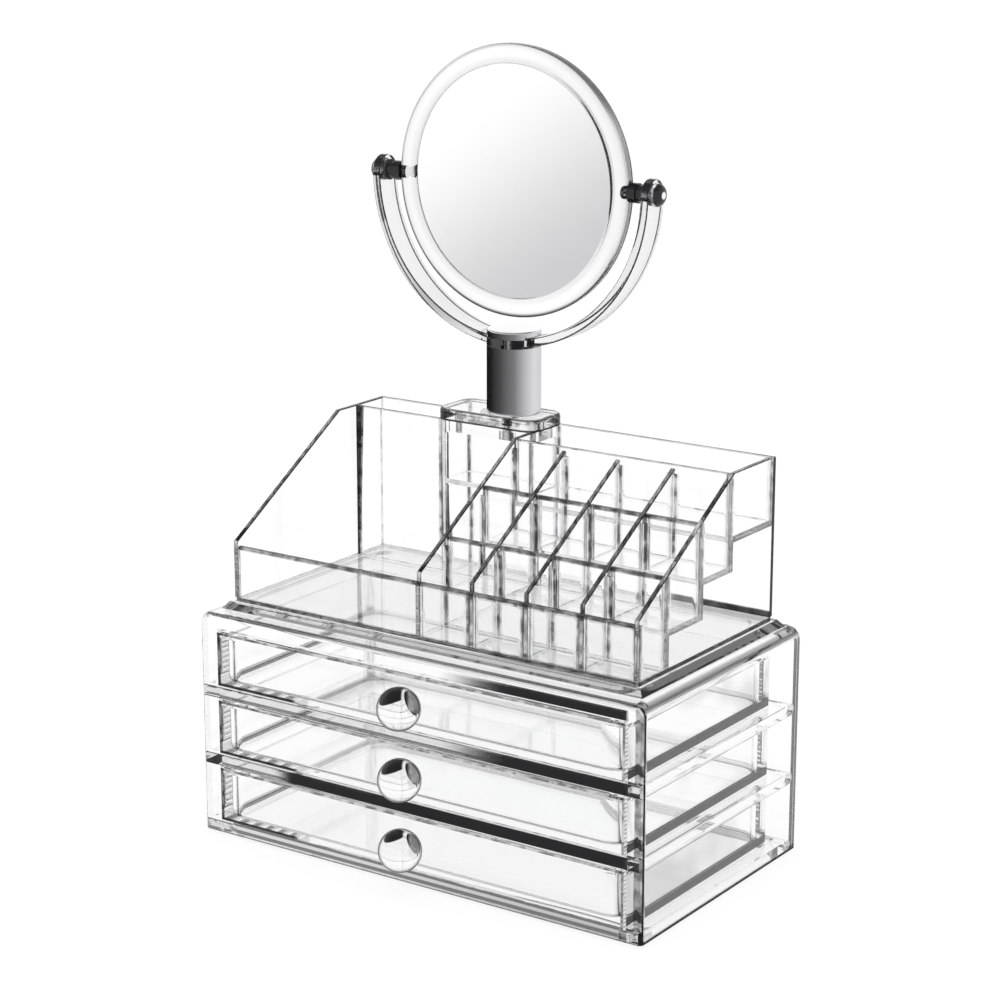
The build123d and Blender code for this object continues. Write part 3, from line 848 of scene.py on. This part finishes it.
class ORGANIZER_OT_fillets(bpy.types.Operator):
    """Round fillets in the corners of the lipstick cells, the column and the back pockets"""

    bl_idname = "organizer.fillets"
    bl_label = "Corner fillets"

    def execute(self, context):
        look = context.scene.organizer_acrylic
        shape = bmesh.new()
        for room in (*self.cells(), *self.back_rooms()):
            self.room(shape, look.fillet, *room)
        bmesh.ops.recalc_face_normals(shape, faces=shape.faces)
        mesh = bpy.data.meshes.new("tray_corner_fillets")
        shape.to_mesh(mesh)
        shape.free()
        piece = bpy.data.objects.new("tray_corner_fillets", mesh)
        context.scene.collection.objects.link(piece)
        clear = Plastic("fillet_clear", look)
        # Painted shade on the hollow faces of the fillets
        rounded = 1 - clear.square().step(0.8, 0.97)
        clear.painted_shade(rounded * (clear.beads * 0.5 + 0.35))
        mesh.materials.append(clear.close(*FILLET_WAVES))
        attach(piece, "tray")
        return {"FINISHED"}

    def cells(self):
        """X, y, floor, front top and back top of each lipstick cell."""
        below_wall_top = 0.0006
        below_slope = 0.0038
        sides = [extent(name) for name in CELL_SIDES]
        walls = [extent(name) for name in CELL_WALLS]
        for row, name in enumerate(CELL_FLOORS):
            floor = extent(name)[1].z
            front, back = walls[row], walls[row + 1]
            for left, right in zip(sides, sides[1:]):
                yield (
                    (left[1].x, right[0].x),
                    (front[1].y, back[0].y),
                    floor,
                    front[1].z - below_wall_top,
                    back[1].z - below_slope,
                )

    def back_rooms(self):
        """The same for the column, above and below its floor, and the two pockets beside it."""
        gap = 0.0006
        back = extent("tray_back_wall")[0].y
        base = extent("tray_base")[1].z
        top = extent("tray_back_wall")[1].z - gap
        behind = (extent("pocket_partition")[1].y, back)
        column = (extent("column_side")[1].x, extent("tray_centre_wall")[0].x)
        pocket = (extent("tray_left_wall")[1].x, extent("column_side")[0].x)
        ledge = (extent("tray_centre_wall")[1].x, extent("rack_end_sheet")[0].x)
        below, above = extent("column_floor")
        plug = extent("mirror_foot")[0].z - gap
        yield column, behind, above.z, plug, plug
        yield column, behind, base, below.z - gap, below.z - gap
        yield pocket, behind, base, top, None
        floor = extent("back_pocket_shelf")[1].z
        yield ledge, (extent("rack_cross_wall_3")[1].y, back), floor, top, top

    def room(self, shape, radius, wide, deep, floor, front_top, back_top):
        """Fillets in the front corners of one compartment, and in the back ones that have a top."""
        for x, way in ((wide[0], 1), (wide[1], -1)):
            self.fillet(shape, radius, (x, deep[0]), (way, 1), floor, front_top)
            if back_top is not None:
                self.fillet(shape, radius, (x, deep[1]), (way, -1), floor, back_top)

    def fillet(self, shape, radius, corner, ways, bottom, top):
        """Upright strip with a hollow face in one corner of a compartment."""
        gap = 0.00003
        count = 6
        outline = [(gap, gap)]
        for number in range(count + 1):
            turn = pi / 2 * number / count
            outline.append((gap + radius * (1 - sin(turn)), gap + radius * (1 - cos(turn))))
        rings = []
        for height in (bottom + gap, top):
            ring = [
                shape.verts.new((corner[0] + ways[0] * x, corner[1] + ways[1] * y, height))
                for x, y in outline
            ]
            rings.append(ring)
            shape.faces.new(ring)
        lower, upper = rings
        for number in range(len(outline)):
            following = (number + 1) % len(outline)
            shape.faces.new((lower[number], lower[following], upper[following], upper[number]))


class ORGANIZER_OT_post(bpy.types.Operator):
    """Foot, chromed post and the parts inside it"""

    bl_idname = "organizer.post"
    bl_label = "Mirror post"

    def execute(self, context):
        look = context.scene.organizer_acrylic
        metal = context.scene.organizer_metal
        foot = Plastic("foot_clear", look)
        plate_depth, hem_depth = 0.0056, 0.0047
        high = extent("mirror_foot")[1]
        # Painted shade on the rounded edges and on the sides of the plate, darkest at its hem
        foot.rounded_edges()
        plate = foot.z.above(high.z - plate_depth, 0.0002)
        sides = 1 - foot.facing["z"].size().step(0.2, 0.5)
        hem = foot.z.below(high.z - hem_depth, 0.0003)
        foot.painted_shade(plate * sides * (hem * 0.9).over(foot.beads * 0.6 + 0.08))
        dress(("mirror_foot",), foot.close(*FOOT_WAVES))

        finish, tree, output = new_finish("post_chrome")
        place = place_on(tree)
        lines = grain(place, 900.0, 2.0, 0.5, (1.0, 1.0, 0.05))
        cloud = grain(place, 40.0, 3.0)
        # Painted highlight: level faces of the chrome, such as the cap's top, are whitened
        level = Flow.node(tree, "ShaderNodeTexCoord", output="Normal").axes()[2].step(0.7, 0.95)
        clouded = cloud.blend(rgba(metal.chrome), dimmed(metal.chrome, 0.9))
        surface_of(
            tree,
            output,
            {
                "Base Color": level.blend(clouded, rgba(WHITE)),
                "Metallic": 1.0,
                "Roughness": lines * 0.12 + 0.16,
                "Normal": bump(lines, 0.00001),
            },
        )
        dress(("post_tube", "post_cap"), finish)

        finish, tree, output = new_finish("core_plastic")
        speck = grain(place_on(tree), 300.0, 3.0)
        surface_of(
            tree,
            output,
            {
                "Base Color": speck.blend(rgba((0.8, 0.8, 0.79)), rgba((0.7, 0.7, 0.69))),
                "Roughness": speck * 0.2 + 0.45,
            },
        )
        dress(("post_core",), finish)

        finish, tree, output = new_finish("screw_steel")
        turned = grain(place_on(tree), 1500.0, 2.0, 0.5, (1.0, 1.0, 4.0))
        surface_of(
            tree,
            output,
            {
                "Base Color": turned.blend(rgba((0.62, 0.62, 0.63)), rgba((0.5, 0.5, 0.51))),
                "Metallic": 1.0,
                "Roughness": turned * 0.15 + 0.25,
            },
        )
        dress(("foot_screw",), finish)
        return {"FINISHED"}


class ORGANIZER_OT_mirror(bpy.types.Operator):
    """Yoke, frame ring, both glasses and the pivots"""

    bl_idname = "organizer.mirror"
    bl_label = "Mirror"

    def execute(self, context):
        look = context.scene.organizer_acrylic
        metal = context.scene.organizer_metal
        yoke = Plastic("yoke_clear", look)
        # Painted shade: dark on the slanted faces, faint grey elsewhere
        lean = yoke.facing["y"].size()
        yoke.painted_shade((lean.step(0.1, 0.3) * (1 - lean.step(0.88, 0.98)) * 0.92).over(0.07))
        dress(("yoke",), yoke.close(*MIRROR_WAVES))
        self.ring(look)
        self.glass(metal)
        self.pivots(metal)

        finish, tree, output = new_finish("washer_rubber")
        speck = grain(place_on(tree), 700.0, 3.0)
        surface_of(
            tree,
            output,
            {
                "Base Color": speck.blend(rgba(metal.rubber), dimmed(metal.rubber, 1.5)),
                "Roughness": speck * 0.2 + 0.6,
                "Normal": bump(speck, 0.00002),
            },
        )
        dress(PIVOT_RUBBER, finish)
        return {"FINISHED"}

    def ring(self, look):
        """Frame ring: painted soft shade along both edges, and a painted outline, heavier at the lower
        right.
        """
        low, high = extent("mirror_frame")
        middle = (low + high) / 2
        half = (high.z - low.z) / 2
        inner_outline = 0.3
        ring = Plastic("frame_clear", look)
        lean = ring.facing["y"].size()
        eased = lean.step(0.03, 0.1) * (1 - lean.step(0.93, 0.99))
        across = (ring.x - middle.x) / half
        tall = (ring.z - middle.z) / half
        reach = across.maths("SQRT", across * across + tall * tall)
        heavy = (across * 0.45 - tall).step(-0.7, 0.7) * 0.55 + 0.4
        # Painted grey shade on the ring's curved faces
        ring.painted_shade((1 - lean.step(0.05, 0.15)) * 0.2)
        # Painted soft shade near the inner and outer edges of the flat faces
        ring.painted_shade((1 - reach.step(0.86, 0.93)).over(reach.step(0.95, 1.0)) * 0.1)
        outline = reach.step(0.9, 0.93) * (heavy - inner_outline) + inner_outline
        ring.rim(0.25, 0.6, eased * outline)
        dress(("mirror_frame",), ring.close(*MIRROR_WAVES))

    def glass(self, metal):
        """Silvered glass with a painted soft shade towards its lower right and a little dust."""
        low, high = extent("front_mirror")
        middle = (low + high) / 2
        finish, tree, output = new_finish("mirror_silver")
        place = place_on(tree)
        x, _, z = place.axes()
        slant = ((x - middle.x) * 0.55 - (z - middle.z) * 0.83) / (high.x - low.x)
        dust = grain(place, 90.0, 4.0).step(0.5, 0.8)
        # Painted shade towards the lower right, with a little real dust
        shade = slant.step(-0.42, 0.5) + dust * 0.03
        surface_of(
            tree,
            output,
            {
                "Base Color": shade.blend(rgba(metal.silver), rgba(metal.silver_shade)),
                "Metallic": 1.0,
                "Roughness": dust * 0.02 + 0.015,
            },
        )
        dress(GLASSES, finish)

    def pivots(self, metal):
        """Black pivots with a bright streaky neck and a painted highlight at the middle of the screw's
        end.
        """
        neck_start, neck_end = 0.0695, 0.0760
        end_start = 0.0775
        painted_highlight_inner, painted_highlight_outer = 0.0000012, 0.000004
        low, high = extent("front_mirror")
        centre = (low.x + high.x) / 2
        low, high = extent("left_pivot_screw")
        axle = (low + high) / 2
        finish, tree, output = new_finish("pivot_black_chrome")
        place = place_on(tree)
        wear = grain(place, 400.0, 3.0).step(0.45, 0.8)
        x, y, z = place.axes()
        out = (x - centre).size()
        neck = out.above(neck_start, 0.0003) * out.below(neck_end, 0.0006)
        streak = grain(place, 350.0, 2.0).step(0.4, 0.6) * 0.75 + 0.15
        off_squared = (y - axle.y) * (y - axle.y) + (z - axle.z) * (z - axle.z)
        # Painted highlight at the middle of each screw's end
        painted_highlight = (1 - off_squared.step(painted_highlight_inner, painted_highlight_outer)) * out.above(end_start, 0.0007)
        worn = wear.blend(rgba(metal.black_chrome), dimmed(metal.black_chrome, 1.6))
        surface_of(
            tree,
            output,
            {
                "Base Color": (neck * streak).over(painted_highlight).blend(worn, rgba(metal.chrome)),
                "Roughness": wear * 0.1 + 0.06,
                "Specular IOR Level": 0.35,
            },
        )
        dress(PIVOT_METAL, finish)


class ORGANIZER_OT_stage(bpy.types.Operator):
    """Pale floor, studio light, shade card and the camera"""

    bl_idname = "organizer.stage"
    bl_label = "Stage"

    def execute(self, context):
        stage = context.scene.organizer_stage
        scene = context.scene
        bounces = 48
        glossy_bounces = 40
        below_feet = 0.0003
        light_spread = 1.2
        light_place, light_turn = (0.0, 0.0, 2.5), (0.25, 0.2, 0.0)
        film_width = 36.0
        view_depth = 100.0
        scene.view_settings.view_transform = "Standard"
        scene.cycles.max_bounces = bounces
        scene.cycles.transmission_bounces = bounces
        scene.cycles.glossy_bounces = glossy_bounces
        scene.cycles.transparent_max_bounces = bounces

        bpy.ops.mesh.primitive_plane_add(size=stage.floor_size)
        floor = context.object
        floor.name = "studio_floor"
        floor.location.z = -below_feet
        floor.data.materials.append(self.floor_finish(stage))

        self.studio(scene, stage)
        soft = bpy.data.lights.new("overhead_light", "SUN")
        soft.angle = light_spread
        soft.energy = stage.light_strength
        lamp = bpy.data.objects.new("overhead_light", soft)
        lamp.location = light_place
        lamp.rotation_euler = light_turn
        lamp.visible_glossy = False
        lamp.visible_transmission = False
        scene.collection.objects.link(lamp)

        card = self.shade_card(stage)
        scene.collection.objects.link(card)

        lens = bpy.data.cameras.new("photo_camera")
        camera = bpy.data.objects.new("photo_camera", lens)
        scene.collection.objects.link(camera)
        lens.sensor_width = film_width
        lens.lens = stage.lens
        lens.clip_end = view_depth
        place = Vector(stage.camera_place)
        camera.location = place
        away = Vector(stage.camera_aim) - place
        camera.rotation_euler = away.to_track_quat("-Z", "Y").to_euler()
        scene.camera = camera
        return {"FINISHED"}

    def floor_finish(self, stage):
        """Matt floor that shows as plain white and keeps a faint shadow."""
        finish, tree, output = new_finish("floor_pale")
        cloud = grain(place_on(tree), 6.0)
        clouded = cloud.blend(rgba(stage.floor_colour), dimmed(stage.floor_colour, 0.99))
        matt = Flow.node(tree, "ShaderNodeBsdfDiffuse", None, {"Color": clouded})
        white = Flow.node(tree, "ShaderNodeEmission", None, {"Color": rgba(WHITE)})
        seen = sum(
            Flow.node(tree, "ShaderNodeLightPath", output=ray)
            for ray in ("Is Camera Ray", "Is Glossy Ray", "Is Transmission Ray")
        )
        share = seen.maths("MINIMUM", seen, 1.0) * stage.floor_glow
        surface = Flow.node(tree, "ShaderNodeMixShader", None, {0: share, 1: matt, 2: white})
        tree.links.new(surface.socket, output.inputs["Surface"])
        return finish

    def shade_card(self, stage):
        """Bent card close round the post, black at the left and pale at the right, that shows only in
        reflections, a painted reflection for the chrome.
        """
        low, high = extent("post_tube")
        top = extent("post_cap")[1].z
        middle = (low + high) / 2
        radius = (high.x - low.x) / 2 + stage.card_gap
        first, last = stage.card_start, stage.card_end
        count = 48
        points, faces = [], []
        for number in range(count + 1):
            turn = first + number * (last - first) / count
            x = middle.x + radius * cos(turn)
            y = middle.y + radius * sin(turn)
            points += [(x, y, low.z), (x, y, top)]
            if number:
                corner = 2 * number
                faces.append((corner - 2, corner, corner + 1, corner - 1))
        mesh = bpy.data.meshes.new("shade_card")
        mesh.from_pydata(points, [], faces)
        finish, tree, output = new_finish("card_shade")
        x, y, _ = place_on(tree).axes()
        turn = x.maths("ARCTAN2", y - middle.y, x - middle.x)
        turn = turn - turn.maths("GREATER_THAN", turn, last) * (2 * pi)
        along = Flow.node(
            tree,
            "ShaderNodeMapRange",
            None,
            {"Value": turn, "From Min": first, "From Max": last},
        )
        shade = Flow.node(
            tree,
            "ShaderNodeValToRGB",
            {
                "stops": [
                    (position, (grey, grey, grey))
                    for position, grey in (
                        (0.0, 0.002),
                        (0.22, 0.012),
                        (0.35, 0.075),
                        (0.5, 0.24),
                        (0.62, 0.65),
                        (0.72, 0.9),
                        (1.0, 0.7),
                    )
                ]
            },
            {"Fac": along},
        )
        light = Flow.node(tree, "ShaderNodeEmission", None, {"Color": shade})
        tree.links.new(light.socket, output.inputs["Surface"])
        mesh.materials.append(finish)
        card = bpy.data.objects.new("shade_card", mesh)
        card.visible_camera = False
        card.visible_diffuse = False
        card.visible_transmission = False
        card.visible_shadow = False
        return card

    def studio(self, scene, stage):
        """White walls round the table, dark above, plain white behind the picture."""
        world = bpy.data.worlds.new("studio")
        scene.world = world
        world.use_nodes = True
        tree = world.node_tree
        tree.nodes.clear()
        output = tree.nodes.new("ShaderNodeOutputWorld")
        height = Flow.node(tree, "ShaderNodeTexCoord", output="Generated").axes()[2]
        wall = 1 - height.step(0.45, 0.75)
        dome = wall * (stage.sky_low - stage.sky_high) + stage.sky_high
        camera_ray = Flow.node(tree, "ShaderNodeLightPath", output="Is Camera Ray")
        strength = camera_ray + (1 - camera_ray) * dome
        light = Flow.node(
            tree, "ShaderNodeBackground", None, {"Color": rgba(WHITE), "Strength": strength}
        )
        tree.links.new(light.socket, output.inputs["Surface"])


class ORGANIZER_PT_panel(bpy.types.Panel):
    """Steps that finish the organizer"""

    bl_idname = "ORGANIZER_PT_panel"
    bl_label = "Makeup organizer"
    bl_space_type = "VIEW_3D"
    bl_region_type = "UI"
    bl_category = "Organizer"

    def draw(self, context):
        for step in STEPS:
            self.layout.operator(step.bl_idname)
        for name in SETTINGS:
            group = getattr(context.scene, name)
            for key in group.bl_rna.properties.keys():
                if key not in {"rna_type", "name"}:
                    self.layout.prop(group, key)


STEPS = (
    ORGANIZER_OT_chest,
    ORGANIZER_OT_drawers,
    ORGANIZER_OT_tray,
    ORGANIZER_OT_fillets,
    ORGANIZER_OT_post,
    ORGANIZER_OT_mirror,
    ORGANIZER_OT_stage,
)
SETTINGS = {
    "organizer_stage": StageSettings,
    "organizer_acrylic": AcrylicSettings,
    "organizer_metal": MetalSettings,
}


def register():
    for name, group in SETTINGS.items():
        bpy.utils.register_class(group)
        setattr(bpy.types.Scene, name, PointerProperty(type=group))
    for kind in (*STEPS, ORGANIZER_PT_panel):
        bpy.utils.register_class(kind)


def unregister():
    for kind in (ORGANIZER_PT_panel, *reversed(STEPS)):
        bpy.utils.unregister_class(kind)
    for name, group in SETTINGS.items():
        delattr(bpy.types.Scene, name)
        bpy.utils.unregister_class(group)


def main():
    register()
    bpy.ops.organizer.chest()
    bpy.ops.organizer.drawers()
    bpy.ops.organizer.tray()
    bpy.ops.organizer.fillets()
    bpy.ops.organizer.post()
    bpy.ops.organizer.mirror()
    bpy.ops.organizer.stage()


if __name__ == "__main__":
    main()
